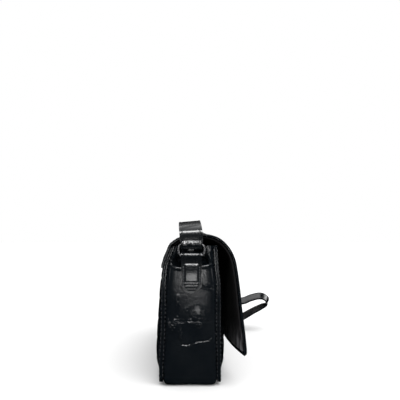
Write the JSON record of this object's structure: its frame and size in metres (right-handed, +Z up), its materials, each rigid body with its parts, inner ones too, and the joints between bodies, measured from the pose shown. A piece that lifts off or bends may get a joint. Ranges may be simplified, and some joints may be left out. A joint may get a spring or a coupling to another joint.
{
  "type": "flap bag",
  "caption": "Small flap bag of glossy embossed leather standing on its base, with a flared flap, a ring at each end and a flat shoulder strap looped behind it.",
  "frame": {"origin": "on the floor under the middle of the bag's base", "axes": "+X along the bag from the end in the picture to the far end, +Y to the back, so the flap's front faces -Y, +Z up"},
  "size_m": [0.2686, 0.1652, 0.169],
  "materials": {
    "embossed_leather": "semi-patent black with raised plates and fine grain",
    "strap_leather": "semi-patent black, painted edges, stitched borders",
    "matte_lining": "matte black",
    "black_metal": "glossy black plated metal"
  },
  "bodies": {
    "root": {"back_panel": "embossed_leather", "front_panel": "embossed_leather", "gusset": "embossed_leather", "flap": "embossed_leather", "flap_lining": "matte_lining", "strap_tab_near": "strap_leather", "strap_tab_far": "strap_leather", "ring_near": "black_metal", "ring_far": "black_metal", "shoulder_strap": "strap_leather", "magnet_snap": "black_metal"}
  },
  "joints": []
}
